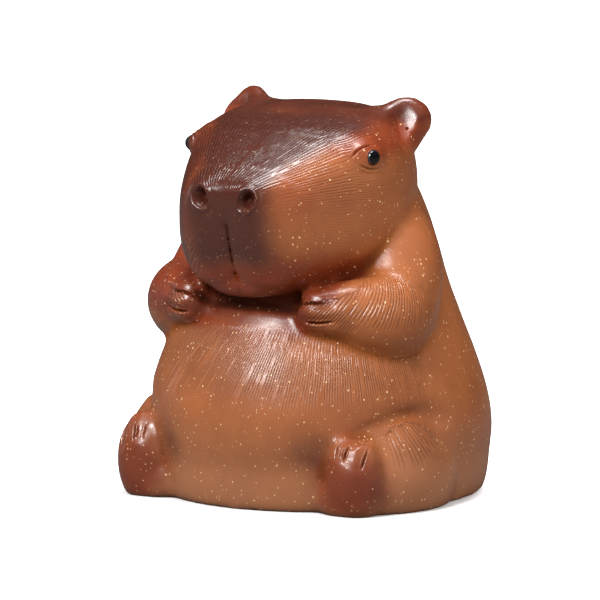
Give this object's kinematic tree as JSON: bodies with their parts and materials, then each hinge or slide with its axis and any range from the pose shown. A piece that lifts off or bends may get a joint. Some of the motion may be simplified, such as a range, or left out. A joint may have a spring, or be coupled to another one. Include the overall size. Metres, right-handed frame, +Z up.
{
  "type": "tea pet",
  "caption": "Seated capybara tea pet of polished, flecked stoneware, forepaws tucked under its chin, with small cupped ears and black bead eyes; hollow, vented through its flat base.",
  "frame": {"origin": "middle of the figure in plan, at the underside of its flat base", "axes": "+Z up; the figure faces -Y; +X is the figure's own left"},
  "size_m": [0.0692, 0.0692, 0.0774],
  "materials": {
    "fired_clay": "satin",
    "black_bead": "gloss"
  },
  "bodies": {
    "root": {"clay_body": "fired_clay", "eye_bead_left": "black_bead", "eye_bead_right": "black_bead"}
  },
  "joints": []
}
